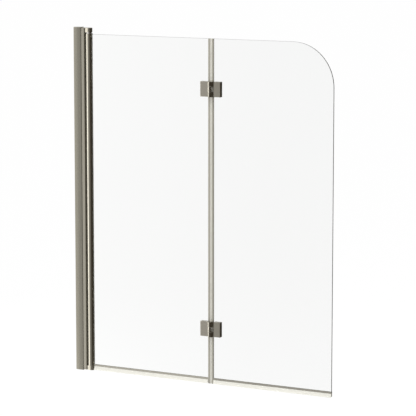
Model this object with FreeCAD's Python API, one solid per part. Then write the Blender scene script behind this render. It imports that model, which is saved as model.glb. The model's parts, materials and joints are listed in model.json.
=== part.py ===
import FreeCAD, Part
import math
import os

# Folding bath screen: a wall channel, an adjusting profile with two pivot brackets, and two
# glass panels joined by a pair of clamp hinges. X runs along the closed screen away from the
# wall, -Y is the side to which the outer panel folds, and Z is up. The origin lies on the
# wall, in the middle of the glass thickness, at the lower end of the channel. Sizes are in mm.

# Main sizes
CHANNEL_LENGTH = 1397.0
SCREEN_WIDTH = 1147.0
FOLD_LINE = 619.7
GLASS_THICKNESS = 6.0
OVERRUN = 2.0

# Wall channel: a crowned U that is screwed to the wall through its web
CHANNEL_DEPTH = 33.0
CHANNEL_WIDTH = 26.0
CHANNEL_CROWN = 0.8
CHANNEL_FLANGE = 1.6
CHANNEL_WEB = 2.0
WALL_HOLE_COUNT = 4
WALL_HOLE_RADIUS = 2.75
WALL_HOLE_INSET = 98.5

# End caps of the channel, each with a tongue behind the adjusting profile
CHANNEL_CAP = 1.5
CHANNEL_CAP_INSET = 0.3
CAP_TONGUE = 2.2
CAP_TONGUE_LENGTH = 12.0
CAP_FIT = 0.1

# Clamp screws in the rear flange, which lock the adjusting profile
CLAMP_SCREW_COUNT = 3
CLAMP_SCREW_RADIUS = 2.0
CLAMP_SCREW_INSET = 150.0
CLAMP_SCREW_SINK = 0.3
THREAD_FIT = 0.03
SOCKET_RADIUS_SHARE = 0.55
SOCKET_DEPTH_SHARE = 0.6

# Adjusting profile: a box section that slides in the channel, with a rounded nose
SLIDE_FIT = 0.2
BACK_SPACE = 8.0
NOSE_REACH = 16.4
PROFILE_WALL = 1.8
NOSE_ROUND = 3.0
PORT_INSET = 8.0
PORT_WALL = 1.5
GROOVE_WIDTH = 4.0
GROOVE_DEPTH = 3.0

# Wiper strip between the nose and the turning tube
WIPER_REACH = 3.5
WIPER_GAP = 0.3
WIPER_WIDTH = 6.0
WIPER_FIT = 0.1

# Pivot brackets at both ends of the adjusting profile
BRACKET_HEIGHT = 18.5
BRACKET_RADIUS = 12.0
BRACKET_ROUND = 1.5
BRACKET_ROOT = 2.0
BRACKET_CAP_GAP = 0.5
SPIGOT_HEIGHT = 10.0
SPIGOT_FIT = 0.15
BRACKET_SCREW_RADIUS = 2.0
BRACKET_SCREW_HEAD = 4.0
BRACKET_SCREW_GRIP = 16.0
SCREW_HOLE_FIT = 0.2

# Pivot pins, their bushes and the thrust washers. The upper washer keeps the panel from lifting
PIVOT_PIN_RADIUS = 3.0
PIVOT_PIN_DEPTH = 18.0
PIVOT_PIN_END_GAP = 0.5
PIN_FIT = 0.05
PRESS_FIT = 0.02
BUSH_WALL = 2.0
BUSH_DEPTH = 12.0
THRUST_WASHER = 0.8
THRUST_WASHER_RADIUS = 9.3
LIFT_WASHER = 4.4
LIFT_PLAY = 0.2

# Pivot tube with its glass pocket, end plugs and glazing gasket
TUBE_RADIUS = 14.0
TUBE_WALL = 2.0
POCKET_WALL = 1.5
PLUG_LENGTH = 24.0
PLUG_WEB = 1.3
PLUG_FIT = 0.1
GASKET_SIDE = 1.5
GASKET_BASE = 1.0
GASKET_RECESS = 1.5

# Glass panels
GLASS_FOOT = 0.2
GLASS_HEAD = 2.4
GLASS_ARRIS = 0.6
GLASS_HOLE_RADIUS = 5.5
CORNER_RADIUS = 172.0

# Fold seals: a grip on each glass edge, and a hollow bulb on the inner one
FOLD_GAP = 11.0
SEAL_BASE = 2.0
SEAL_ARM = 6.3
SEAL_SKIN = 1.5
SEAL_FIT = 0.05
BULB_WALL = 0.8
BULB_SINK = 0.5
BULB_GAP = 0.3
SEAL_NOTCH = 0.5

# Bottom seals: a grip, an upright lip and a flared drip lip
DRIP_GRIP = 5.5
DRIP_BASE = 2.0
DRIP_SKIN = 1.4
LIP_THICKNESS = 1.2
LIP_FLARE = 4.0
LIP_CLEARANCE = 2.3
LIP_STEP = 2.5
SEAL_END_GAP = 0.5

# Clamp hinges: two leaves that grip the glass, with a barrel in front of it. The outer leaf starts
# farther from the fold, clear of its seal
HINGE_INSET = 223.0
HINGE_HEIGHT = 60.0
HINGE_WIDTH = 88.4
INNER_LEAF_NEAR = 9.0
OUTER_LEAF_NEAR = 16.0
HINGE_PLATE = 6.2
HINGE_ROUND = 1.0
HINGE_GASKET = 1.0
HINGE_GASKET_INSET = 0.6
BARREL_RADIUS = 6.2
BARREL_RISE = 4.8
KNUCKLE_LENGTH = 20.0
KNUCKLE_WEB = 5.0
HINGE_PIN_RADIUS = 3.0
HINGE_PIN_SINK = 0.5
KNUCKLE_WASHER = 0.6
KNUCKLE_PLAY = 0.1
KNUCKLE_WASHER_INSET = 0.6
HINGE_SCREW_RADIUS = 2.5
HINGE_SCREW_HEAD = 4.8
HINGE_SCREW_PITCH = 32.0
HINGE_TAP_DEPTH = 4.6
HINGE_SCREW_END_GAP = 0.4
SLEEVE_FIT = 0.1

# Places that follow from the sizes
FLANGE_Y = CHANNEL_WIDTH / 2 - CHANNEL_CROWN
CAVITY_Y = FLANGE_Y - CHANNEL_FLANGE
PROFILE_Y = CAVITY_Y - SLIDE_FIT
PROFILE_BACK = CHANNEL_WEB + BACK_SPACE
NOSE_X = CHANNEL_DEPTH + NOSE_REACH
CAVITY_END = NOSE_X - GROOVE_DEPTH - PROFILE_WALL
HOLLOW_Y = PROFILE_Y - PROFILE_WALL
NOSE_Y = PROFILE_Y - NOSE_ROUND
PORT_X = PROFILE_BACK + PORT_INSET
PORT_BORE = BRACKET_SCREW_RADIUS + THREAD_FIT
PORT_RADIUS = PORT_BORE + PORT_WALL
PIVOT_X = NOSE_X + WIPER_REACH + TUBE_RADIUS
BRACKET_SEAT = BRACKET_CAP_GAP + BRACKET_HEIGHT
BUSH_RADIUS = PIVOT_PIN_RADIUS + PIN_FIT + BUSH_WALL
TUBE_LOW = BRACKET_SEAT + THRUST_WASHER
TUBE_HIGH = CHANNEL_LENGTH - BRACKET_SEAT - LIFT_WASHER - LIFT_PLAY
PLUG_FLAT = PIVOT_X + PIVOT_PIN_RADIUS + PLUG_WEB
POCKET_FLOOR = PLUG_FLAT + PLUG_FIT + POCKET_WALL
POCKET_Y = GLASS_THICKNESS / 2 + GASKET_SIDE
GLASS_Y = GLASS_THICKNESS / 2
GLASS_LOW = TUBE_LOW + GLASS_FOOT
GLASS_HIGH = TUBE_HIGH - GLASS_HEAD
INNER_GLASS_LEFT = POCKET_FLOOR + GASKET_BASE
INNER_GLASS_RIGHT = FOLD_LINE - FOLD_GAP / 2
OUTER_GLASS_LEFT = FOLD_LINE + FOLD_GAP / 2
SEAL_REACH = FOLD_GAP / 2 + SEAL_ARM
HINGE_LEVELS = {"lower": HINGE_INSET, "upper": CHANNEL_LENGTH - HINGE_INSET}
HINGE_SIDES = {"inner": -1, "outer": 1}
PLATE_BACK = GLASS_Y + HINGE_GASKET
PLATE_FRONT = PLATE_BACK + HINGE_PLATE
BARREL_Y = -(PLATE_FRONT + BARREL_RISE)
LEAF_NEARS = {HINGE_SIDES["inner"]: INNER_LEAF_NEAR, HINGE_SIDES["outer"]: OUTER_LEAF_NEAR}
LEAF_FAR = HINGE_WIDTH / 2
HINGE_BORE = HINGE_PIN_RADIUS + PIN_FIT
KNUCKLE_GAP = KNUCKLE_WASHER + KNUCKLE_PLAY * 2
CHANNEL_MIDDLE = CHANNEL_LENGTH / 2
TUBE_MIDDLE = (TUBE_LOW + TUBE_HIGH) / 2
UP = FreeCAD.Vector(0, 0, 1)
FORWARD = FreeCAD.Vector(0, -1, 0)


def vector(x, y, z):
    return FreeCAD.Vector(x, y, z)


def plan(x, y):
    return vector(x, y, 0)


def side(y, z):
    return vector(0, y, z)


def front(x, z):
    return vector(x, 0, z)


def outline(plane, start, *steps):
    """Face inside a closed outline. A step is an end point, or a point on an arc and its end."""
    edges = []
    here = plane(*start)
    for step in steps + (start,):
        arc = isinstance(step[0], tuple)
        end = plane(*(step[1] if arc else step))
        if arc:
            edges.append(Part.Arc(here, plane(*step[0]), end).toShape())
        else:
            edges.append(Part.makeLine(here, end))
        here = end
    return Part.Face(Part.Wire(edges))


def upright(section, low, high):
    section.translate(vector(0, 0, low))
    return section.extrude(vector(0, 0, high - low))


def lengthwise(section, left, right):
    section.translate(vector(left, 0, 0))
    return section.extrude(vector(right - left, 0, 0))


def plate(section, thickness):
    section.translate(vector(0, -thickness / 2, 0))
    return section.extrude(vector(0, thickness, 0))


def block(x_ends, y_ends, z_ends):
    (x0, x1), (y0, y1), (z0, z1) = sorted(x_ends), sorted(y_ends), sorted(z_ends)
    return Part.makeBox(x1 - x0, y1 - y0, z1 - z0, vector(x0, y0, z0))


def rod(radius, start, end):
    along = end - start
    return Part.makeCylinder(radius, along.Length, start, along)


def post(radius, x, y, low, high):
    return rod(radius, vector(x, y, low), vector(x, y, high))


def across(radius, x, z, reach):
    return rod(radius, vector(x, reach, z), vector(x, -reach, z))


def ring(outer, inner, x, y, low, high):
    return post(outer, x, y, low, high).cut(post(inner, x, y, low - OVERRUN, high + OVERRUN))


def spaced(low, high, count):
    return [low + (high - low) * i / (count - 1) for i in range(count)]


def turned_over(shape, middle):
    """Copy of a piece of the lower end for the upper end, mirrored at a middle height."""
    return shape.mirror(vector(0, 0, middle), UP)


def edges_where(shape, test):
    return [e for e in shape.Edges if all(test(v.Point) for v in e.Vertexes)]


def placed(shape, base, direction):
    shape.Placement = FreeCAD.Placement(base, FreeCAD.Rotation(UP, direction))
    return shape


def hex_socket(radius):
    """Hexagon key recess for a screw of this radius, sunk along +Z from the origin."""
    reach = radius * SOCKET_RADIUS_SHARE
    corners = [(reach * math.cos(math.pi * i / 3), reach * math.sin(math.pi * i / 3)) for i in range(6)]
    return upright(outline(plan, *corners), 0, radius * SOCKET_DEPTH_SHARE)


def countersunk_screw(shank, head, length, base, direction):
    cone = Part.makeCone(head, shank, head - shank)
    screw = cone.fuse(Part.makeCylinder(shank, length)).cut(hex_socket(head))
    return placed(screw.removeSplitter(), base, direction)


def countersunk_hole(shank, head, length, base, direction):
    bore = Part.makeCylinder(shank + SCREW_HOLE_FIT, length)
    return placed(bore.fuse(Part.makeCone(head, shank, head - shank)), base, direction)


def channel_section(inset):
    """Outer outline of the wall channel, with gently crowned flanges."""
    reach = FLANGE_Y - inset
    crown = CHANNEL_WIDTH / 2 - inset
    middle = CHANNEL_DEPTH / 2
    mouth = CHANNEL_DEPTH - inset
    return outline(plan, (inset, -reach), ((middle, -crown), (mouth, -reach)),
                   (mouth, reach), ((middle, crown), (inset, reach)))


def clamp_screw_levels():
    return spaced(CLAMP_SCREW_INSET, CHANNEL_LENGTH - CLAMP_SCREW_INSET, CLAMP_SCREW_COUNT)


def wall_channel():
    body = upright(channel_section(0), 0, CHANNEL_LENGTH)
    through = (-OVERRUN, CHANNEL_LENGTH + OVERRUN)
    body = body.cut(block((CHANNEL_WEB, CHANNEL_DEPTH + OVERRUN), (-CAVITY_Y, CAVITY_Y), through))
    for z in spaced(WALL_HOLE_INSET, CHANNEL_LENGTH - WALL_HOLE_INSET, WALL_HOLE_COUNT):
        body = body.cut(rod(WALL_HOLE_RADIUS, vector(-OVERRUN, 0, z), vector(CHANNEL_WEB + OVERRUN, 0, z)))
    for z in clamp_screw_levels():
        start = vector(CHANNEL_DEPTH / 2, PROFILE_Y, z)
        end = vector(CHANNEL_DEPTH / 2, CHANNEL_WIDTH / 2 + OVERRUN, z)
        body = body.cut(rod(CLAMP_SCREW_RADIUS + THREAD_FIT, start, end))
    return body


def clamp_screws():
    outer_y = CHANNEL_WIDTH / 2 - CLAMP_SCREW_SINK
    screws = []
    for z in clamp_screw_levels():
        screw = Part.makeCylinder(CLAMP_SCREW_RADIUS, outer_y - PROFILE_Y)
        screw = screw.cut(hex_socket(CLAMP_SCREW_RADIUS))
        screws.append(placed(screw, vector(CHANNEL_DEPTH / 2, outer_y, z), FORWARD))
    return Part.makeCompound(screws)


def bottom_channel_cap():
    cover = upright(channel_section(CHANNEL_CAP_INSET), -CHANNEL_CAP, 0)
    tongue_left = CHANNEL_WEB + CAP_FIT
    tongue_y = CAVITY_Y - CAP_FIT
    tongue = block((tongue_left, tongue_left + CAP_TONGUE), (-tongue_y, tongue_y), (0, CAP_TONGUE_LENGTH))
    return cover.fuse(tongue).removeSplitter()


def profile_section():
    """Outer outline of the adjusting profile, with rounded nose edges."""
    bend = NOSE_ROUND * (1 - math.sqrt(0.5))
    flat_end = NOSE_X - NOSE_ROUND
    return outline(plan, (PROFILE_BACK, -PROFILE_Y), (flat_end, -PROFILE_Y),
                   ((NOSE_X - bend, -PROFILE_Y + bend), (NOSE_X, -NOSE_Y)), (NOSE_X, NOSE_Y),
                   ((NOSE_X - bend, PROFILE_Y - bend), (flat_end, PROFILE_Y)), (PROFILE_BACK, PROFILE_Y))


def adjusting_profile():
    """Hollow extrusion with a screw port on an inner web and a groove for the wiper."""
    low, high = BRACKET_SEAT, CHANNEL_LENGTH - BRACKET_SEAT
    through = (low - OVERRUN, high + OVERRUN)
    outer = upright(profile_section(), low, high)
    body = outer.cut(block((PROFILE_BACK + PROFILE_WALL, CAVITY_END), (-HOLLOW_Y, HOLLOW_Y), through))
    web_x = (PORT_X - PORT_WALL / 2, PORT_X + PORT_WALL / 2)
    web = block(web_x, (-HOLLOW_Y, HOLLOW_Y), (low, high))
    port = post(PORT_RADIUS, PORT_X, 0, low, high).common(outer)
    groove_y = GROOVE_WIDTH / 2
    groove = block((NOSE_X - GROOVE_DEPTH, NOSE_X + OVERRUN), (-groove_y, groove_y), through)
    body = body.fuse([web, port]).cut(groove).cut(post(PORT_BORE, PORT_X, 0, *through))
    return body.removeSplitter()


def wiper_strip():
    root = NOSE_X - GROOVE_DEPTH + WIPER_FIT
    root_y = GROOVE_WIDTH / 2 - WIPER_FIT
    tip = NOSE_X + WIPER_REACH - WIPER_GAP
    lip_y = WIPER_WIDTH / 2
    section = outline(plan, (root, -root_y), (NOSE_X, -root_y), (NOSE_X, -lip_y), (tip, -root_y),
                      (tip, root_y), (NOSE_X, lip_y), (NOSE_X, root_y), (root, root_y))
    return upright(section, BRACKET_SEAT, CHANNEL_LENGTH - BRACKET_SEAT)


def arm_section():
    """Outline of the bracket's arm, which leaves the flat of the nose and flares round the eye."""
    reach = PIVOT_X - NOSE_X
    turn = math.atan2(NOSE_Y, reach) + math.acos(BRACKET_RADIUS / math.hypot(reach, NOSE_Y))
    touch_x = PIVOT_X - BRACKET_RADIUS * math.cos(turn)
    touch_y = BRACKET_RADIUS * math.sin(turn)
    return outline(plan, (PORT_X, -NOSE_Y), (NOSE_X, -NOSE_Y), (touch_x, -touch_y),
                   ((PIVOT_X + BRACKET_RADIUS, 0), (touch_x, touch_y)), (NOSE_X, NOSE_Y), (PORT_X, NOSE_Y))


def bottom_pivot_bracket():
    """End piece of the adjusting profile, with a spigot in its hollow and an eye for the bush."""
    body = upright(profile_section(), BRACKET_CAP_GAP, BRACKET_SEAT)
    body = body.fuse(upright(arm_section(), BRACKET_CAP_GAP, BRACKET_SEAT)).removeSplitter()
    body = body.makeFillet(BRACKET_ROOT, edges_where(body, lambda p: math.isclose(p.x, NOSE_X)))
    lower_rim = edges_where(body, lambda p: p.z < (BRACKET_CAP_GAP + BRACKET_SEAT) / 2)
    body = body.makeFillet(BRACKET_ROUND, lower_rim)
    spigot_x = (PORT_X + PORT_RADIUS + SPIGOT_FIT, CAVITY_END - SPIGOT_FIT)
    spigot_y = HOLLOW_Y - SPIGOT_FIT
    body = body.fuse(block(spigot_x, (-spigot_y, spigot_y), (BRACKET_SEAT, BRACKET_SEAT + SPIGOT_HEIGHT)))
    body = body.cut(countersunk_hole(BRACKET_SCREW_RADIUS, BRACKET_SCREW_HEAD, BRACKET_HEIGHT + OVERRUN,
                                     vector(PORT_X, 0, BRACKET_CAP_GAP), UP))
    bush_hole = post(BUSH_RADIUS + PRESS_FIT, PIVOT_X, 0, BRACKET_SEAT - BUSH_DEPTH, BRACKET_SEAT + OVERRUN)
    return body.cut(bush_hole).removeSplitter()


def bracket_screws():
    length = BRACKET_HEIGHT + BRACKET_SCREW_GRIP
    base = vector(PORT_X, 0, BRACKET_CAP_GAP)
    bottom = countersunk_screw(BRACKET_SCREW_RADIUS, BRACKET_SCREW_HEAD, length, base, UP)
    return Part.makeCompound([bottom, turned_over(bottom, CHANNEL_MIDDLE)])


def bottom_pivot_bush():
    return ring(BUSH_RADIUS, PIVOT_PIN_RADIUS + PIN_FIT, PIVOT_X, 0, BRACKET_SEAT - BUSH_DEPTH, BRACKET_SEAT)


def thrust_washer(low, high):
    return ring(THRUST_WASHER_RADIUS, PIVOT_PIN_RADIUS + PIN_FIT, PIVOT_X, 0, low, high)


def bottom_thrust_washer():
    return thrust_washer(BRACKET_SEAT, TUBE_LOW)


def top_thrust_washer():
    return thrust_washer(TUBE_HIGH, TUBE_HIGH + LIFT_WASHER)


def bottom_pivot_pin():
    low = BRACKET_SEAT - BUSH_DEPTH + PIVOT_PIN_END_GAP
    return post(PIVOT_PIN_RADIUS, PIVOT_X, 0, low, TUBE_LOW + PIVOT_PIN_DEPTH)


def bottom_pivot_plug():
    """Round plug in the tube's chamber, notched for the glass pocket and bored for the pin."""
    high = TUBE_LOW + PLUG_LENGTH
    notch_y = POCKET_Y + POCKET_WALL + PLUG_FIT
    through = (TUBE_LOW - OVERRUN, high + OVERRUN)
    plug = post(TUBE_RADIUS - TUBE_WALL - PLUG_FIT, PIVOT_X, 0, TUBE_LOW, high)
    plug = plug.cut(block((PLUG_FLAT, PIVOT_X + TUBE_RADIUS), (-notch_y, notch_y), through))
    bore_end = TUBE_LOW + PIVOT_PIN_DEPTH
    return plug.cut(post(PIVOT_PIN_RADIUS + PRESS_FIT, PIVOT_X, 0, TUBE_LOW - OVERRUN, bore_end))


def pivot_tube():
    """Round extrusion with an inner pocket that takes the glass edge and its gasket."""
    through = (TUBE_LOW - OVERRUN, TUBE_HIGH + OVERRUN)
    outer = post(TUBE_RADIUS, PIVOT_X, 0, TUBE_LOW, TUBE_HIGH)
    wall_y = POCKET_Y + POCKET_WALL
    edge = PIVOT_X + TUBE_RADIUS
    pocket_walls = block((POCKET_FLOOR - POCKET_WALL, edge), (-wall_y, wall_y), through).common(outer)
    body = outer.cut(post(TUBE_RADIUS - TUBE_WALL, PIVOT_X, 0, *through)).fuse(pocket_walls)
    body = body.cut(block((POCKET_FLOOR, edge + OVERRUN), (-POCKET_Y, POCKET_Y), through))
    return body.removeSplitter()


def glazing_gasket():
    outer_end = PIVOT_X + TUBE_RADIUS - GASKET_RECESS
    body = block((POCKET_FLOOR, outer_end), (-POCKET_Y, POCKET_Y), (GLASS_LOW, GLASS_HIGH))
    return body.cut(block((INNER_GLASS_LEFT, outer_end + OVERRUN), (-GLASS_Y, GLASS_Y),
                          (GLASS_LOW - OVERRUN, GLASS_HIGH + OVERRUN)))


def finished_glass(section, side_sign):
    """Plate with ground arrises along its outline and the holes for the hinge screws."""
    glass = plate(section, GLASS_THICKNESS)
    rims = edges_where(glass, lambda p: p.y > 0) + edges_where(glass, lambda p: p.y < 0)
    glass = glass.makeChamfer(GLASS_ARRIS, rims)
    for level in HINGE_LEVELS.values():
        for x, z in hinge_screw_places(side_sign, level):
            glass = glass.cut(across(GLASS_HOLE_RADIUS, x, z, GLASS_THICKNESS))
    return glass


def inner_glass():
    section = outline(front, (INNER_GLASS_LEFT, GLASS_LOW), (INNER_GLASS_RIGHT, GLASS_LOW),
                      (INNER_GLASS_RIGHT, GLASS_HIGH), (INNER_GLASS_LEFT, GLASS_HIGH))
    return finished_glass(section, HINGE_SIDES["inner"])


def outer_glass():
    """The free panel, with a large quarter round at its upper corner."""
    centre_x = SCREEN_WIDTH - CORNER_RADIUS
    centre_z = GLASS_HIGH - CORNER_RADIUS
    diagonal = CORNER_RADIUS * math.sqrt(0.5)
    section = outline(front, (OUTER_GLASS_LEFT, GLASS_LOW), (SCREEN_WIDTH, GLASS_LOW),
                      (SCREEN_WIDTH, centre_z),
                      ((centre_x + diagonal, centre_z + diagonal), (centre_x, GLASS_HIGH)),
                      (OUTER_GLASS_LEFT, GLASS_HIGH))
    return finished_glass(section, HINGE_SIDES["outer"])


def seal_grip(side_sign):
    """U section that grips one glass edge at the fold, notched where it would meet a leaf."""
    edge = FOLD_LINE + side_sign * FOLD_GAP / 2
    base = edge - side_sign * SEAL_BASE
    end = edge + side_sign * SEAL_ARM
    inner_y = GLASS_Y + SEAL_FIT
    outer_y = inner_y + SEAL_SKIN
    section = outline(plan, (base, -outer_y), (end, -outer_y), (end, -inner_y), (edge, -inner_y),
                      (edge, inner_y), (end, inner_y), (end, outer_y), (base, outer_y))
    grip = upright(section, LIP_CLEARANCE, GLASS_HIGH)
    near = FOLD_LINE + side_sign * (LEAF_NEARS[side_sign] - SEAL_NOTCH)
    notch_x = (near, end + side_sign * OVERRUN)
    for level in HINGE_LEVELS.values():
        grip = grip.cut(block(notch_x, (-outer_y, outer_y), level_ends(level, -SEAL_NOTCH)))
    return grip


def inner_fold_seal():
    left = FOLD_LINE - FOLD_GAP / 2 + SEAL_BASE - BULB_SINK
    right = FOLD_LINE + FOLD_GAP / 2 - SEAL_BASE - BULB_GAP
    radius = (right - left) / 2
    bulb = post(radius, left + radius, 0, LIP_CLEARANCE, GLASS_HIGH)
    bore = post(radius - BULB_WALL, left + radius, 0, LIP_CLEARANCE - OVERRUN, GLASS_HIGH + OVERRUN)
    return seal_grip(HINGE_SIDES["inner"]).fuse(bulb).cut(bore).removeSplitter()


def outer_fold_seal():
    return seal_grip(HINGE_SIDES["outer"])


def bottom_seal(left, right):
    """Grip under the glass with an upright rear lip and a drip lip that flares to the front."""
    inner_y = GLASS_Y + SEAL_FIT
    outer_y = inner_y + DRIP_SKIN
    base = GLASS_LOW - DRIP_BASE
    grip = GLASS_LOW + DRIP_GRIP
    drip_y = outer_y + LIP_FLARE
    rear_end = LIP_CLEARANCE + LIP_STEP
    section = outline(side, (-outer_y, grip), (-inner_y, grip), (-inner_y, GLASS_LOW),
                      (inner_y, GLASS_LOW), (inner_y, grip), (outer_y, grip), (outer_y, rear_end),
                      (outer_y - LIP_THICKNESS, rear_end), (outer_y - LIP_THICKNESS, base),
                      (LIP_THICKNESS - outer_y, base),
                      (LIP_THICKNESS - drip_y, LIP_CLEARANCE), (-drip_y, LIP_CLEARANCE), (-outer_y, base))
    return lengthwise(section, left, right)


def inner_bottom_seal():
    return bottom_seal(PIVOT_X + TUBE_RADIUS + SEAL_END_GAP, FOLD_LINE - SEAL_REACH - SEAL_END_GAP)


def outer_bottom_seal():
    return bottom_seal(FOLD_LINE + SEAL_REACH + SEAL_END_GAP, SCREEN_WIDTH)


def hinge_screw_places(side_sign, level):
    x = sum(leaf_ends(side_sign, 0)) / 2
    return [(x, level - HINGE_SCREW_PITCH / 2), (x, level + HINGE_SCREW_PITCH / 2)]


def leaf_ends(side_sign, inset):
    near = LEAF_NEARS[side_sign] + inset
    return (FOLD_LINE + side_sign * near, FOLD_LINE + side_sign * (LEAF_FAR - inset))


def level_ends(level, inset):
    return (level - HINGE_HEIGHT / 2 + inset, level + HINGE_HEIGHT / 2 - inset)


def knuckle_spans(side_name, level):
    """The inner leaf has the middle knuckle, the outer leaf the two end ones."""
    low, high = level_ends(level, 0)
    half = KNUCKLE_LENGTH / 2
    if side_name == "inner":
        return [(level - half, level + half)]
    return [(low, level - half - KNUCKLE_GAP), (level + half + KNUCKLE_GAP, high)]


def strap_section(side_sign):
    """Outline of the strap that rises from a leaf's near edge to the front of the barrel."""
    near = LEAF_NEARS[side_sign]
    turn = math.acos(BARREL_RADIUS / math.hypot(near, BARREL_RISE)) - math.atan2(BARREL_RISE, near)
    touch = (BARREL_RADIUS * math.cos(turn), BARREL_Y - BARREL_RADIUS * math.sin(turn))
    root = near + KNUCKLE_WEB
    back = KNUCKLE_WEB - PLATE_FRONT
    corners = [(0, BARREL_Y), touch, (near, -PLATE_FRONT), (root, -PLATE_FRONT), (root, back), (0, back)]
    return outline(plan, *((FOLD_LINE + side_sign * x, y) for x, y in corners))


def hinge_leaf(side_name, level):
    """Front plate with its knuckles, bored for the pin and tapped from behind for the screws."""
    side_sign = HINGE_SIDES[side_name]
    leaf = block(leaf_ends(side_sign, 0), (-PLATE_FRONT, -PLATE_BACK), level_ends(level, 0))
    rims = edges_where(leaf, lambda p: p.y < -PLATE_BACK - HINGE_PLATE / 2)
    leaf = leaf.makeFillet(HINGE_ROUND, rims)
    for low, high in knuckle_spans(side_name, level):
        strap = upright(strap_section(side_sign), low, high)
        leaf = leaf.fuse([strap, post(BARREL_RADIUS, FOLD_LINE, BARREL_Y, low, high)])
    leaf = leaf.cut(post(HINGE_BORE, FOLD_LINE, BARREL_Y, *level_ends(level, -OVERRUN)))
    for x, z in hinge_screw_places(side_sign, level):
        tap_end = vector(x, -PLATE_BACK - HINGE_TAP_DEPTH, z)
        leaf = leaf.cut(rod(HINGE_SCREW_RADIUS + THREAD_FIT, vector(x, 0, z), tap_end))
    return leaf.removeSplitter()


def hinge_back_plate(side_sign, level):
    """Rear plate with countersunk screw holes."""
    back = block(leaf_ends(side_sign, 0), (PLATE_BACK, PLATE_FRONT), level_ends(level, 0))
    rims = edges_where(back, lambda p: p.y > PLATE_BACK + HINGE_PLATE / 2)
    back = back.makeFillet(HINGE_ROUND, rims)
    for x, z in hinge_screw_places(side_sign, level):
        back = back.cut(countersunk_hole(HINGE_SCREW_RADIUS, HINGE_SCREW_HEAD, HINGE_PLATE + OVERRUN,
                                         vector(x, PLATE_FRONT, z), FORWARD))
    return back


def hinge_gaskets(side_sign, level):
    pads = []
    for y_ends in ((-PLATE_BACK, -GLASS_Y), (GLASS_Y, PLATE_BACK)):
        pad = block(leaf_ends(side_sign, HINGE_GASKET_INSET), y_ends, level_ends(level, HINGE_GASKET_INSET))
        for x, z in hinge_screw_places(side_sign, level):
            pad = pad.cut(across(HINGE_SCREW_RADIUS + SCREW_HOLE_FIT, x, z, PLATE_FRONT))
        pads.append(pad)
    return Part.makeCompound(pads)


def hinge_sleeves(side_sign, level):
    """Sleeves that keep the screws off the glass."""
    sleeves = []
    for x, z in hinge_screw_places(side_sign, level):
        sleeve = across(GLASS_HOLE_RADIUS - SLEEVE_FIT, x, z, GLASS_Y)
        sleeves.append(sleeve.cut(across(HINGE_SCREW_RADIUS + SCREW_HOLE_FIT, x, z, GLASS_THICKNESS)))
    return Part.makeCompound(sleeves)


def hinge_screws(side_sign, level):
    length = PLATE_FRONT + PLATE_BACK + HINGE_TAP_DEPTH - HINGE_SCREW_END_GAP
    return Part.makeCompound([
        countersunk_screw(HINGE_SCREW_RADIUS, HINGE_SCREW_HEAD, length, vector(x, PLATE_FRONT, z), FORWARD)
        for x, z in hinge_screw_places(side_sign, level)])


def hinge_pin(level):
    return post(HINGE_PIN_RADIUS, FOLD_LINE, BARREL_Y, *level_ends(level, HINGE_PIN_SINK))


def hinge_washers(level):
    rim = BARREL_RADIUS - KNUCKLE_WASHER_INSET
    half = KNUCKLE_LENGTH / 2 + KNUCKLE_PLAY
    lows = (level - half - KNUCKLE_WASHER, level + half)
    return Part.makeCompound([
        ring(rim, HINGE_BORE, FOLD_LINE, BARREL_Y, low, low + KNUCKLE_WASHER) for low in lows])


def hinge_nodes():
    nodes = {}
    for level_name, level in HINGE_LEVELS.items():
        for side_name, side_sign in HINGE_SIDES.items():
            name = f"{level_name}_hinge_{side_name}"
            nodes[f"{name}_leaf"] = hinge_leaf(side_name, level)
            nodes[f"{name}_back_plate"] = hinge_back_plate(side_sign, level)
            nodes[f"{name}_gaskets"] = hinge_gaskets(side_sign, level)
            nodes[f"{name}_sleeves"] = hinge_sleeves(side_sign, level)
            nodes[f"{name}_screws"] = hinge_screws(side_sign, level)
        nodes[f"{level_name}_hinge_pin"] = hinge_pin(level)
        nodes[f"{level_name}_hinge_washers"] = hinge_washers(level)
    return nodes


def end_nodes():
    """Pieces that both ends share. Those of the turning tube keep their place on its ends."""
    nodes = {}
    middles = {bottom_channel_cap: CHANNEL_MIDDLE, bottom_pivot_bracket: CHANNEL_MIDDLE,
               bottom_pivot_bush: CHANNEL_MIDDLE, bottom_pivot_pin: TUBE_MIDDLE,
               bottom_pivot_plug: TUBE_MIDDLE}
    for make, middle in middles.items():
        piece = make()
        nodes[make.__name__] = piece
        nodes[make.__name__.replace("bottom", "top")] = turned_over(piece, middle)
    return nodes


def single_nodes():
    return {make.__name__: make() for make in (
        wall_channel, clamp_screws, adjusting_profile, wiper_strip, bracket_screws, bottom_thrust_washer,
        top_thrust_washer, pivot_tube, glazing_gasket, inner_glass, outer_glass, inner_fold_seal,
        outer_fold_seal, inner_bottom_seal, outer_bottom_seal)}


def main():
    os.makedirs("parts", exist_ok=True)
    for name, shape in {**single_nodes(), **end_nodes(), **hinge_nodes()}.items():
        shape.exportStep(f"parts/{name}.step")


main()
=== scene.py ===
import json
import math

import bmesh
import bpy
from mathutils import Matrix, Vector
from mathutils.geometry import tessellate_polygon


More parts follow.
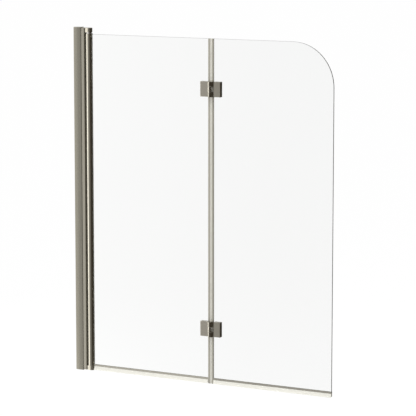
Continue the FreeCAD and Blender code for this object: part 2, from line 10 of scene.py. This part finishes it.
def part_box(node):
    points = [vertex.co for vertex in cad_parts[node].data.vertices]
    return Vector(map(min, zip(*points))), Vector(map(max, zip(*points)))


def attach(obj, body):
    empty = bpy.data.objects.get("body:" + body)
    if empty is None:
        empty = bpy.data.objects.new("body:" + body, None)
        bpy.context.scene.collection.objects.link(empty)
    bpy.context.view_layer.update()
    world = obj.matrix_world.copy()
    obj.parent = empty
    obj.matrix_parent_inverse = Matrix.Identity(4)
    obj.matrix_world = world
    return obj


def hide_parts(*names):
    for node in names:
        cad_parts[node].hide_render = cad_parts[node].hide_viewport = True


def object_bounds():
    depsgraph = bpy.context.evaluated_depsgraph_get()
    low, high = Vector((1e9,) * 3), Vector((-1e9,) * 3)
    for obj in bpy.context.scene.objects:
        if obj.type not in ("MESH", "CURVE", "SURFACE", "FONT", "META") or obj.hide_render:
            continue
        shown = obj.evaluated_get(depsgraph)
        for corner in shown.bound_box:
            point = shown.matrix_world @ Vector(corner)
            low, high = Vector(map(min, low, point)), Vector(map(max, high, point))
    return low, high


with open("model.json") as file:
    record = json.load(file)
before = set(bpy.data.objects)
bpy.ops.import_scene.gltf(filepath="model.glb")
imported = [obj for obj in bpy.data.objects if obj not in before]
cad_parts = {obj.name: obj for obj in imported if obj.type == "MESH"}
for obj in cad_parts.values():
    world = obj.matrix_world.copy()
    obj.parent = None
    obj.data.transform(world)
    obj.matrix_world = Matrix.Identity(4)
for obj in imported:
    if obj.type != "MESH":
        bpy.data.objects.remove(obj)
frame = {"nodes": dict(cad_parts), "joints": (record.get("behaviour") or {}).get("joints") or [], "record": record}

# Folding bath screen in satin nickel and clear glass. All lengths are in metres.
CAD_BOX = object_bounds()
NODES = frame["nodes"]
SLOTS = {part["node"]: part["material_slot"] for part in frame["record"]["subparts"]}
JOINTS = {joint["name"]: joint for joint in frame["joints"]}
BODIES = frame["record"]["behaviour"]["bodies"]
BODY_OF = {node: body for body, nodes in BODIES.items() for node in nodes}

# Camera
CAMERA_TARGET = Vector((0.6052, 0.0, 0.705))
CAMERA_YAW = 28.27
CAMERA_RISE = 8.24
CAMERA_DISTANCE = 8.803
CAMERA_LENS = 193.9
CAMERA_SENSOR = 36.0

# Stage
FLOOR_DROP = 0.56
FLOOR_SIZE = 240.0
FLOOR_WHITE_SHARE = 0.88
AMBIENT_STRENGTH = 1.0

# Softboxes: place, width, height and power
SOFTBOXES = {
    "left_softbox": ((-3.2, 0.6, 1.0), 2.2, 3.2, 70),
    "top_softbox": ((0.6, -1.4, 4.0), 3.0, 2.0, 50)}

# Reflector round the front and right, bright on the left and dark on the right
REFLECTOR_CENTRE = 0.45
REFLECTOR_TURN = 30
REFLECTOR_RADIUS = 4.5
REFLECTOR_SKIRT = 0.4
REFLECTOR_FULL = 1.4
REFLECTOR_LIFT = 0.002
REFLECTOR_TOP = 5.0
REFLECTOR_STEPS = 64
REFLECTOR_STRENGTH = 3.2
PLAIN, WARM = (1.0, 0.985, 0.985), (1.0, 0.88, 0.72)
# Stops: degrees from the front, brightness, tint and cover
REFLECTOR_STOPS = (
    (-125, 0.4, PLAIN, 0), (-92, 1.0, PLAIN, 1), (-72, 1.0, PLAIN, 1), (-58, 0.74, PLAIN, 1),
    (-44, 0.35, PLAIN, 1), (-33, 0.23, PLAIN, 1), (-22, 0.138, PLAIN, 1), (6, 0.128, PLAIN, 1),
    (22, 0.06, WARM, 1), (38, 0.03, WARM, 1), (60, 0.023, WARM, 1), (100, 0.023, WARM, 1),
    (168, 0.038, WARM, 1), (192, 0.3, PLAIN, 0))

# Seals
SEAL_FIT = 0.00005
ARM_TAPER = 0.0025
ARM_TIP = 0.0009
FOLD_BASES = {"inner": 0.0039, "outer": 0.0013}
BULB_SHARE = 0.75
BULB_NOSE_SHARE = 0.98
BULB_WALL = 0.0008
BULB_GAP = 0.0003
LEAF_GAP = 0.0005
NOTCH_SLOPE = 0.0003
DRIP_BASE = 0.002
LIP_ROOT = 0.0014
LIP_TIP = 0.0007
FRONT_LIP_BOW = 1.8
REAR_LIP_BOW = 1.5
REAR_LIP_RISE = 0.0025
WIPER_ROOT_SHARE = 0.63
WIPER_ROOT_ROUND = 0.0003
WIPER_LIP_ROUND = 0.0006
WIPER_TIP_ROUND = 0.0012

# Meshes: steps of a lip and of a rounded corner, largest smooth angle, least turn that is rounded,
# and distance under which points are one
LIP_STEPS = 10
CORNER_STEPS = 5
SMOOTH_ANGLE = math.radians(35)
LEAST_TURN = 0.01
WELD = 1e-6

# Material indices of a seal
GRIP, LIP = 0, 1

# Glass: colours of the faces and the ground edges, the normal's share of Y under which a face is an
# edge, and colours of the body and of light let through to shadows
PANE_COLOUR = (0.988, 0.99, 0.988)
EDGE_COLOUR = (0.11, 0.106, 0.099)
EDGE_ROUGHNESS = 0.3
EDGE_LIMIT = 0.9
GLASS_IOR = 1.5
GLASS_BODY = (0.78, 0.8, 0.77, 1)
GLASS_DENSITY = 12.0
GLASS_SHADOW = (0.93, 0.94, 0.93, 1)

# Grain: detail of the noise, the part of its range in use, and strength and depth of its relief
GRAIN_DETAIL = 3.0
GRAIN_LOW, GRAIN_HIGH = 0.3, 0.7
PLAIN_RELIEF = (0.1, 0.00005)
FINE_RELIEF = (0.03, 0.00002)
BRUSHED = (1500, 1500, 9)
METAL = {"Metallic": 1.0}

# Surfaces: dark and light colour, range of roughness, grains per metre along X, Y and Z, relief, and
# values that are the same all over
SURFACES = {
    "satin_nickel_profile": (
        (0.405, 0.385, 0.32), (0.43, 0.409, 0.34), (0.21, 0.25), BRUSHED, PLAIN_RELIEF, METAL),
    "satin_nickel_channel": (
        (0.295, 0.281, 0.232), (0.32, 0.305, 0.251), (0.23, 0.28), BRUSHED, PLAIN_RELIEF, METAL),
    "satin_nickel_casting": (
        (0.412, 0.391, 0.327), (0.436, 0.414, 0.346), (0.27, 0.33), (600,) * 3, FINE_RELIEF, METAL),
    # Lighter copy of the casting: a painted reflection, used on the inner hinge leaves
    "satin_nickel_light": (
        (0.484, 0.458, 0.388), (0.512, 0.484, 0.41), (0.27, 0.33), (600,) * 3, FINE_RELIEF, METAL),
    "satin_nickel_bracket": (
        (0.375, 0.356, 0.297), (0.398, 0.378, 0.315), (0.36, 0.42), (600,) * 3, FINE_RELIEF, METAL),
    "seal_grip": (
        (0.31, 0.294, 0.248), (0.355, 0.337, 0.286), (0.35, 0.5), (250,) * 3, PLAIN_RELIEF, {}),
    # Darker copy of the seal grip: painted shade, used on the outer bottom seal
    "seal_grip_dark": (
        (0.24, 0.228, 0.192), (0.27, 0.256, 0.217), (0.35, 0.5), (250,) * 3, PLAIN_RELIEF, {}),
    "translucent_pvc": (
        (0.9, 0.884, 0.805), (0.92, 0.905, 0.832), (0.3, 0.45), (180,) * 3, PLAIN_RELIEF,
        {"Transmission_Weight": 0.22, "IOR": 1.45}),
    "dark_rubber": (
        (0.143, 0.134, 0.108), (0.175, 0.164, 0.133), (0.5, 0.7), (700,) * 3, PLAIN_RELIEF, {}),
    "white_nylon": (
        (0.62, 0.61, 0.58), (0.7, 0.69, 0.66), (0.4, 0.5), (400,) * 3, PLAIN_RELIEF, {}),
    "stainless_steel": (
        (0.49, 0.478, 0.462), (0.54, 0.527, 0.51), (0.24, 0.3), (800,) * 3, FINE_RELIEF, METAL)}

# Nodes whose material differs from their slot: own finishes, painted shade (outer bottom seal) and a painted
# reflection (inner leaves)
FINISHES = {
    # The outer bottom seal takes the darker grip as painted shade
    "wall_channel": "satin_nickel_channel", "outer_bottom_seal": "seal_grip_dark",
    "top_pivot_bracket": "satin_nickel_bracket", "bottom_pivot_bracket": "satin_nickel_bracket",
    # The inner hinge leaves take the lighter casting as a painted reflection
    "lower_hinge_inner_leaf": "satin_nickel_light", "upper_hinge_inner_leaf": "satin_nickel_light"}


def new_material(name):
    made = bpy.data.materials.new(name)
    made.use_nodes = True
    return made, made.node_tree, made.node_tree.nodes["Principled BSDF"]


def set_inputs(node, **values):
    for name, value in values.items():
        node.inputs[name.replace("_", " ")].default_value = value


def calculated(tree, operation, *values):
    """Result of a math node whose inputs are sockets or numbers."""
    node = tree.nodes.new("ShaderNodeMath")
    node.operation = operation
    for socket, value in zip(node.inputs, values):
        if isinstance(value, bpy.types.NodeSocket):
            tree.links.new(value, socket)
        else:
            socket.default_value = value
    return node.outputs["Value"]


def show_mix(tree, factor, first, second, output):
    """Give an output a mix of two shaders as its surface."""
    mix = tree.nodes.new("ShaderNodeMixShader")
    for source, socket in zip((factor, first, second), mix.inputs):
        tree.links.new(source, socket)
    tree.links.new(mix.outputs["Shader"], tree.nodes[output].inputs["Surface"])


def grain(tree, scale):
    """Noise over the object's own coordinates, stretched by a scale for each axis."""
    place = tree.nodes.new("ShaderNodeTexCoord")
    mapping = tree.nodes.new("ShaderNodeMapping")
    mapping.inputs["Scale"].default_value = scale
    noise = tree.nodes.new("ShaderNodeTexNoise")
    set_inputs(noise, Scale=1.0, Detail=GRAIN_DETAIL)
    tree.links.new(place.outputs["Object"], mapping.inputs["Vector"])
    tree.links.new(mapping.outputs["Vector"], noise.inputs["Vector"])
    return noise.outputs["Fac"]


def tint(tree, factor, dark, light, target):
    ramp = tree.nodes.new("ShaderNodeValToRGB")
    first, last = ramp.color_ramp.elements
    first.position, last.position = GRAIN_LOW, GRAIN_HIGH
    first.color, last.color = (*dark, 1), (*light, 1)
    tree.links.new(factor, ramp.inputs["Fac"])
    tree.links.new(ramp.outputs["Color"], target)


def spread(tree, factor, low, high, target):
    span = tree.nodes.new("ShaderNodeMapRange")
    set_inputs(span, From_Min=GRAIN_LOW, From_Max=GRAIN_HIGH, To_Min=low, To_Max=high)
    tree.links.new(factor, span.inputs["Value"])
    tree.links.new(span.outputs["Result"], target)


def relief(tree, factor, strength, depth, target):
    bump = tree.nodes.new("ShaderNodeBump")
    set_inputs(bump, Strength=strength, Distance=depth)
    tree.links.new(factor, bump.inputs["Height"])
    tree.links.new(bump.outputs["Normal"], target)


def surface(name, dark, light, roughness, scale, bump, constants):
    """Material whose colour, roughness and relief follow one grain."""
    made, tree, shader = new_material(name)
    factor = grain(tree, scale)
    tint(tree, factor, dark, light, shader.inputs["Base Color"])
    spread(tree, factor, *roughness, shader.inputs["Roughness"])
    relief(tree, factor, *bump, shader.inputs["Normal"])
    set_inputs(shader, **constants)
    return made


def edge_mask(tree):
    """0 on the faces of a pane, which lie across Y, and 1 on its ground edges."""
    place = tree.nodes.new("ShaderNodeTexCoord")
    axes = tree.nodes.new("ShaderNodeSeparateXYZ")
    tree.links.new(place.outputs["Normal"], axes.inputs["Vector"])
    return calculated(tree, "LESS_THAN", calculated(tree, "ABSOLUTE", axes.outputs["Y"]), EDGE_LIMIT)


def clear_glass():
    """Solid glass with a faint grey body and greyer edges, which lets lamp light through."""
    made, tree, shader = new_material("clear_glass")
    mask = edge_mask(tree)
    tint(tree, mask, PANE_COLOUR, EDGE_COLOUR, shader.inputs["Base Color"])
    spread(tree, mask, 0.0, EDGE_ROUGHNESS, shader.inputs["Roughness"])
    set_inputs(shader, Transmission_Weight=1.0, IOR=GLASS_IOR)
    body = tree.nodes.new("ShaderNodeVolumeAbsorption")
    set_inputs(body, Color=GLASS_BODY, Density=GLASS_DENSITY)
    clear = tree.nodes.new("ShaderNodeBsdfTransparent")
    set_inputs(clear, Color=GLASS_SHADOW)
    shadow = tree.nodes.new("ShaderNodeLightPath").outputs["Is Shadow Ray"]
    show_mix(tree, shadow, shader.outputs["BSDF"], clear.outputs["BSDF"], "Material Output")
    tree.links.new(body.outputs["Volume"], tree.nodes["Material Output"].inputs["Volume"])
    return made


def make_materials():
    materials = {name: surface(name, *look) for name, look in SURFACES.items()}
    materials["clear_glass"] = clear_glass()
    return materials


def dress_nodes(materials):
    for name, node in NODES.items():
        node.data.materials.clear()
        node.data.materials.append(materials[FINISHES.get(name, SLOTS[name])])


def rounded(corners):
    """Closed outline through corners (a, b, radius), each turned into an arc of its radius."""
    points = []
    count = len(corners)
    for i, (a, b, radius) in enumerate(corners):
        here = Vector((a, b))
        before = (Vector(corners[i - 1][:2]) - here).normalized()
        after = (Vector(corners[(i + 1) % count][:2]) - here).normalized()
        half = before.angle(after) / 2
        if radius == 0 or math.pi / 2 - half < LEAST_TURN:
            points.append(here)
            continue
        reach = radius / math.tan(half)
        centre = here + (before + after).normalized() * radius / math.sin(half)
        start = (here + before * reach - centre).normalized()
        end = (here + after * reach - centre).normalized()
        for step in range(CORNER_STEPS + 1):
            points.append(centre + start.slerp(end, step / CORNER_STEPS) * radius)
    return points


def joined_rings(mesh, below, above, parts):
    count = len(below)
    for i in range(count):
        j = (i + 1) % count
        face = mesh.faces.new((below[i], below[j], above[j], above[i]))
        face.material_index = parts[i]


def swept(name, levels, sections, place, parts):
    """Solid through a row of sections of equal point counts. A section is its outline and any bores."""
    mesh = bmesh.new()
    rings = [[[mesh.verts.new(place(p, level)) for p in loop] for loop in section]
             for level, section in zip(levels, sections)]
    for below, above in zip(rings, rings[1:]):
        for low_loop, high_loop, loop_parts in zip(below, above, parts):
            joined_rings(mesh, low_loop, high_loop, loop_parts)
    for end in (rings[0], rings[-1]):
        verts = [v for loop in end for v in loop]
        for triangle in tessellate_polygon([[v.co for v in loop] for loop in end]):
            mesh.faces.new([verts[i] for i in triangle])
    bmesh.ops.remove_doubles(mesh, verts=mesh.verts, dist=WELD)
    bmesh.ops.recalc_face_normals(mesh, faces=mesh.faces)
    data = bpy.data.meshes.new(name)
    mesh.to_mesh(data)
    mesh.free()
    data.polygons.foreach_set("use_smooth", [True] * len(data.polygons))
    data.set_sharp_from_angle(angle=SMOOTH_ANGLE)
    piece = bpy.data.objects.new(name, data)
    bpy.context.scene.collection.objects.link(piece)
    return piece


def stand_for(piece, node, materials, *names):
    """Give a piece its materials and let it replace a CAD node."""
    for name in names:
        piece.data.materials.append(materials[name])
    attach(piece, BODY_OF[node])
    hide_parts(node)


def grip_corners(edge, base, tip, inner, outer):
    """Corners of a U that grips a glass edge, from one arm tip round the base to the other."""
    arm = [
        (tip, inner, 0), (tip, inner + ARM_TIP, ARM_TIP / 3), (tip - ARM_TAPER, outer, ARM_TIP),
        (base, outer, ARM_TIP)]
    far = [(a, -b, r) for a, b, r in reversed(arm)]
    throat = [(edge, -inner, 0), (edge, inner, 0)]
    return arm, far, throat


def bulb_corners(base, nose, half, root):
    """Corners of a bulb, or of its bore, from its root round its nose and back."""
    bend = half * BULB_NOSE_SHARE
    return [(base, half, root), (nose, half, bend), (nose, -half, bend), (base, -half, root)]


def fold_section(side, edge, base, tip, inner, outer):
    """Grip on a glass edge at the fold. The inner one has the hollow bulb."""
    arm, far, throat = grip_corners(edge, base, tip, inner, outer)
    if side == "outer":
        return [rounded(arm + far + throat)]
    nose = FOLD_BASES["outer"] + BULB_GAP - edge
    half = outer * BULB_SHARE
    skin = bulb_corners(base, nose, half, BULB_WALL / 2)
    bore = bulb_corners(base - BULB_WALL, nose + BULB_WALL, half - BULB_WALL, BULB_WALL)
    return [rounded(arm + skin + far + throat), rounded(bore)]


def fold_seal(side, materials):
    """Seal on a glass edge at the fold, whose arms stop short of the hinge leaves."""
    node = f"{side}_fold_seal"
    fold = JOINTS["panel_fold"]["pos_m"][0]
    low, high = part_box(node)
    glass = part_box(f"{side}_glass")
    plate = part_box(f"lower_hinge_{side}_back_plate")
    edge = min(abs(end.x - fold) for end in glass)
    base = edge - FOLD_BASES[side]
    reach = max(abs(end.x - fold) for end in (low, high))
    notched = min(reach, min(abs(end.x - fold) for end in plate) - LEAF_GAP)
    levels, tips = [low.z], [reach]
    for level in ("lower", "upper"):
        leaf_low, leaf_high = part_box(f"{level}_hinge_{side}_leaf")
        start, end = leaf_low.z - LEAF_GAP, leaf_high.z + LEAF_GAP
        levels += [start - NOTCH_SLOPE, start, end, end + NOTCH_SLOPE]
        tips += [reach, notched, notched, reach]
    levels.append(high.z)
    tips.append(reach)
    sections = [fold_section(side, edge, base, tip, glass[1].y + SEAL_FIT, high.y) for tip in tips]
    parts = [[LIP if p.x < base - WELD else GRIP for p in loop] for loop in sections[0]]
    sign = -1 if side == "inner" else 1
    piece = swept(f"{node}_soft", levels, sections,
                  lambda p, z: Vector((fold + sign * p.x, p.y, z)), parts)
    stand_for(piece, node, materials, "seal_grip", "translucent_pvc")


def lip_sides(start, end, bow):
    """Both sides of a lip that bends from its root to its tip, thinner towards the tip."""
    sides = [], []
    chord = end - start
    for step in range(LIP_STEPS + 1):
        share = step / LIP_STEPS
        middle = start + Vector((chord.x * share ** bow, chord.y * share))
        slope = Vector((chord.x * bow * share ** (bow - 1), chord.y)).normalized()
        normal = Vector((-slope.y, slope.x))
        half = (LIP_ROOT + (LIP_TIP - LIP_ROOT) * share) / 2
        sides[0].append(middle + normal * half)
        sides[1].append(middle - normal * half)
    return sides


def bottom_seal(side, materials):
    """Grip under the glass with a curved drip lip in front and a stiff upright lip behind."""
    node = f"{side}_bottom_seal"
    low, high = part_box(node)
    glass_low, glass_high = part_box(f"{side}_glass")
    inner = glass_high.y + SEAL_FIT
    outer = high.y
    base = glass_low.z - DRIP_BASE
    thin = inner + ARM_TIP
    root = outer - LIP_ROOT / 2
    front_tip = Vector((low.y + LIP_ROOT / 2, low.z + LIP_TIP))
    rear_tip = Vector((root - LIP_TIP / 2, low.z + REAR_LIP_RISE))
    front = lip_sides(Vector((-root, base)), front_tip, FRONT_LIP_BOW)
    rear = lip_sides(Vector((root, base)), rear_tip, REAR_LIP_BOW)
    arms = [Vector(p) for p in (
        (-outer, high.z - ARM_TAPER), (-thin, high.z), (-inner, high.z), (-inner, glass_low.z),
        (inner, glass_low.z), (inner, high.z), (thin, high.z), (outer, high.z - ARM_TAPER))]
    outline = arms + rear[0] + rear[1][::-1] + front[0] + front[1][::-1]
    rigid = len(arms) + len(rear[0]) + len(rear[1])
    parts = [GRIP] * rigid + [LIP] * (len(outline) - rigid - 1) + [GRIP]
    piece = swept(f"{node}_soft", [low.x, high.x], [[outline], [outline]],
                  lambda p, x: Vector((x, p.x, p.y)), [parts])
    stand_for(piece, node, materials, FINISHES.get(node, "seal_grip"), "translucent_pvc")


def wiper(materials):
    """Dark rubber strip with a rounded lip between the nose and the turning tube, whose darkness is partly its own
    colour and partly painted shade of the gap there.
    """
    node = "wiper_strip"
    low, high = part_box(node)
    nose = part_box("adjusting_profile")[1].x
    root = high.y * WIPER_ROOT_SHARE
    section = rounded([
        (low.x, -root, WIPER_ROOT_ROUND), (nose, -root, 0), (nose, low.y, WIPER_LIP_ROUND),
        (high.x, -root, WIPER_TIP_ROUND), (high.x, root, WIPER_TIP_ROUND),
        (nose, high.y, WIPER_LIP_ROUND), (nose, root, 0), (low.x, root, WIPER_ROOT_ROUND)])
    piece = swept(f"{node}_soft", [low.z, high.z], [[section], [section]],
                  lambda p, z: Vector((p.x, p.y, z)), [[GRIP] * len(section)])
    # The dark rubber is partly the strip's own colour and partly painted shade of the gap between nose and tube
    stand_for(piece, node, materials, "dark_rubber")


def make_seals(materials):
    for make in (fold_seal, bottom_seal):
        for side in ("inner", "outer"):
            make(side, materials)
    wiper(materials)


def seen_rays(tree):
    """1 for rays that show the background: from the camera, in gloss and through glass."""
    path = tree.nodes.new("ShaderNodeLightPath").outputs
    seen = calculated(tree, "MAXIMUM", path["Is Camera Ray"], path["Is Glossy Ray"])
    return calculated(tree, "MAXIMUM", seen, path["Is Transmission Ray"])


def make_world():
    world = bpy.data.worlds.new("studio")
    bpy.context.scene.world = world
    world.use_nodes = True
    tree = world.node_tree
    ambient = tree.nodes["Background"]
    set_inputs(ambient, Color=(1, 1, 1, 1), Strength=AMBIENT_STRENGTH)
    backdrop = tree.nodes.new("ShaderNodeBackground")
    set_inputs(backdrop, Color=(1, 1, 1, 1), Strength=1.0)
    show_mix(tree, seen_rays(tree), ambient.outputs["Background"], backdrop.outputs["Background"],
             "World Output")


def floor_material():
    """Pale floor that takes shadows and shows mostly as white."""
    made, tree, shader = new_material("pale_floor")
    set_inputs(shader, Base_Color=(0.95, 0.95, 0.95, 1), Roughness=0.9, Specular_IOR_Level=0.0)
    white = tree.nodes.new("ShaderNodeEmission")
    share = calculated(tree, "MULTIPLY", seen_rays(tree), FLOOR_WHITE_SHARE)
    show_mix(tree, share, shader.outputs["BSDF"], white.outputs["Emission"], "Material Output")
    return made


def staged(name, points, faces, material):
    data = bpy.data.meshes.new(name)
    data.from_pydata(points, [], faces)
    data.materials.append(material)
    made = bpy.data.objects.new(name, data)
    bpy.context.scene.collection.objects.link(made)
    return made


def make_floor(middle, level):
    half = FLOOR_SIZE / 2
    corners = [(-half, -half), (half, -half), (half, half), (-half, half)]
    points = [(middle.x + x, middle.y + y, level) for x, y in corners]
    staged("floor", points, [(0, 1, 2, 3)], floor_material())


def skirt_cover(tree, place):
    """0 at the inner rim of the reflector's skirt, rising to 1 a little farther out."""
    reach = REFLECTOR_RADIUS / 2
    mapping = tree.nodes.new("ShaderNodeMapping")
    mapping.inputs["Scale"].default_value = (1 / reach, 1 / reach, 0)
    near = tree.nodes.new("ShaderNodeTexGradient")
    near.gradient_type = "SPHERICAL"
    cover = tree.nodes.new("ShaderNodeMapRange")
    set_inputs(cover, From_Min=1 - REFLECTOR_SKIRT / reach, From_Max=1 - REFLECTOR_FULL / reach)
    tree.links.new(place, mapping.inputs["Vector"])
    tree.links.new(mapping.outputs["Vector"], near.inputs["Vector"])
    tree.links.new(near.outputs["Fac"], cover.inputs["Value"])
    return cover.outputs["Result"]


def reflector_ramp(tree, place):
    """Brightness and cover that change round the centre from left to right."""
    angle = tree.nodes.new("ShaderNodeTexGradient")
    angle.gradient_type = "RADIAL"
    ramp = tree.nodes.new("ShaderNodeValToRGB")
    stops = ramp.color_ramp.elements
    while len(stops) < len(REFLECTOR_STOPS):
        stops.new(1.0)
    for stop, (degrees, level, shade, cover) in zip(stops, REFLECTOR_STOPS):
        stop.position = (degrees - REFLECTOR_TURN) / 360 + 0.5
        stop.color = (*(level * share for share in shade), cover)
    tree.links.new(place, angle.inputs["Vector"])
    tree.links.new(angle.outputs["Fac"], ramp.inputs["Fac"])
    return ramp.outputs


def mirrored_rays(tree):
    """1 for rays that a surface has reflected, also where they then pass through glass."""
    path = tree.nodes.new("ShaderNodeLightPath")
    return calculated(tree, "GREATER_THAN", path.outputs["Glossy Depth"], 0.5)


def reflector_material():
    """Emission that is bright on the left, fades out at its rims and shows in reflections only."""
    made, tree, _ = new_material("reflector")
    place = tree.nodes.new("ShaderNodeTexCoord").outputs["Object"]
    ramp = reflector_ramp(tree, place)
    glow = tree.nodes.new("ShaderNodeEmission")
    glow.inputs["Strength"].default_value = REFLECTOR_STRENGTH
    tree.links.new(ramp["Color"], glow.inputs["Color"])
    clear = tree.nodes.new("ShaderNodeBsdfTransparent")
    cover = calculated(tree, "MULTIPLY", ramp["Alpha"], skirt_cover(tree, place))
    shown = calculated(tree, "MULTIPLY", cover, mirrored_rays(tree))
    show_mix(tree, shown, clear.outputs["BSDF"], glow.outputs["Emission"], "Material Output")
    return made


def make_reflector(floor_level):
    """Curved studio wall with a skirt on the floor, which only reflections show."""
    start, end = (math.radians(REFLECTOR_STOPS[i][0] - REFLECTOR_TURN) for i in (0, -1))
    foot = floor_level + REFLECTOR_LIFT
    rows = ((REFLECTOR_SKIRT, foot), (REFLECTOR_RADIUS, foot), (REFLECTOR_RADIUS, REFLECTOR_TOP))
    points, faces = [], []
    for step in range(REFLECTOR_STEPS + 1):
        turn = start + (end - start) * step / REFLECTOR_STEPS
        points += [(r * math.cos(turn), r * math.sin(turn), z) for r, z in rows]
    for step in range(REFLECTOR_STEPS):
        for row in range(len(rows) - 1):
            first = step * len(rows) + row
            faces.append((first, first + len(rows), first + len(rows) + 1, first + 1))
    wall = staged("reflector", points, faces, reflector_material())
    wall.location = (REFLECTOR_CENTRE, 0, 0)
    wall.rotation_euler = (0, 0, math.radians(REFLECTOR_TURN - 90))
    wall.visible_camera = False
    wall.visible_diffuse = False
    wall.visible_shadow = False


def softbox(name, target, place, width, height, power):
    lamp = bpy.data.lights.new(name, "AREA")
    lamp.shape = "RECTANGLE"
    lamp.size, lamp.size_y = width, height
    lamp.energy = power
    made = bpy.data.objects.new(name, lamp)
    made.location = place
    made.rotation_mode = "QUATERNION"
    made.rotation_quaternion = (target - Vector(place)).to_track_quat("-Z", "Y")
    made.visible_glossy = False
    bpy.context.scene.collection.objects.link(made)


def make_stage():
    lo, hi = CAD_BOX
    middle = (lo + hi) / 2
    floor_level = lo.z - FLOOR_DROP
    make_world()
    make_floor(middle, floor_level)
    make_reflector(floor_level)
    for name, look in SOFTBOXES.items():
        softbox(name, middle, *look)


def make_camera():
    data = bpy.data.cameras.new("camera")
    data.lens = CAMERA_LENS
    data.sensor_width = CAMERA_SENSOR
    yaw, rise = math.radians(CAMERA_YAW), math.radians(CAMERA_RISE)
    back = Vector((math.sin(yaw) * math.cos(rise), -math.cos(yaw) * math.cos(rise), math.sin(rise)))
    camera = bpy.data.objects.new("camera", data)
    camera.location = CAMERA_TARGET + back * CAMERA_DISTANCE
    camera.rotation_mode = "QUATERNION"
    camera.rotation_quaternion = (-back).to_track_quat("-Z", "Y")
    bpy.context.scene.collection.objects.link(camera)
    bpy.context.scene.camera = camera


materials = make_materials()
dress_nodes(materials)
make_seals(materials)
make_stage()
make_camera()
bpy.context.scene.view_settings.view_transform = "Standard"
bpy.context.view_layer.update()
